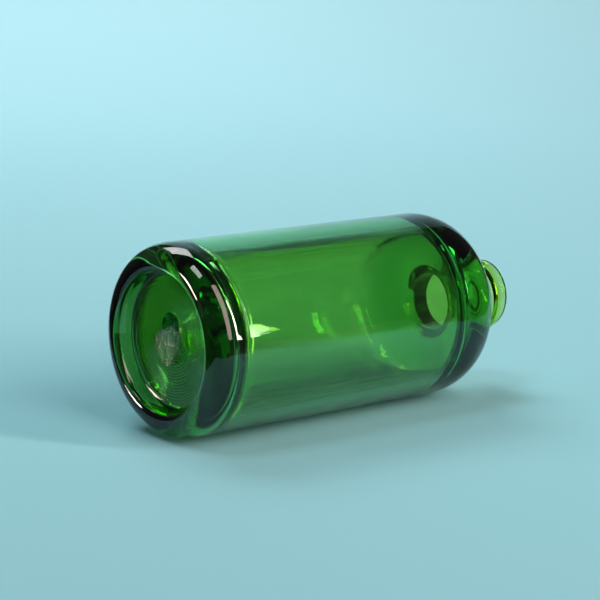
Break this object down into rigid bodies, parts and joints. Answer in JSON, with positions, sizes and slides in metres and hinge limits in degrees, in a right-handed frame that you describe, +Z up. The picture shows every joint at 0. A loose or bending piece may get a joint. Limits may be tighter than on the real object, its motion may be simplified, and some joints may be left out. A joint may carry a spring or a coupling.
{
  "type": "plastic bottle",
  "caption": "Small double-walled clear green plastic bottle, a thick outer shell around an inner bottle, with rounded heel and shoulder, recessed base and short screw-thread neck, lying on its side without a cap.",
  "frame": {"origin": "on the surface that the lying bottle rests on, under the middle of its length", "axes": "+X along the bottle's axis from the base to the mouth, +Z up; the bottle lies on its side"},
  "size_m": [0.1046, 0.046, 0.046],
  "materials": {
    "shell_plastic": "polished and clear, green where it is thick",
    "bottle_plastic": "polished and clear, yellow-green",
    "rough_plastic": "rough, pale, clouded green where the gate was broken off"
  },
  "bodies": {
    "root": {"shell_standing_ring": "shell_plastic", "shell_floor": "shell_plastic", "gate_stub": "rough_plastic", "shell_barrel": "shell_plastic", "shell_shoulder": "shell_plastic", "inner_floor": "bottle_plastic", "inner_barrel": "bottle_plastic", "inner_shoulder": "bottle_plastic", "plain_neck": "bottle_plastic", "threaded_neck": "bottle_plastic", "mouth_lip": "bottle_plastic"}
  },
  "joints": []
}
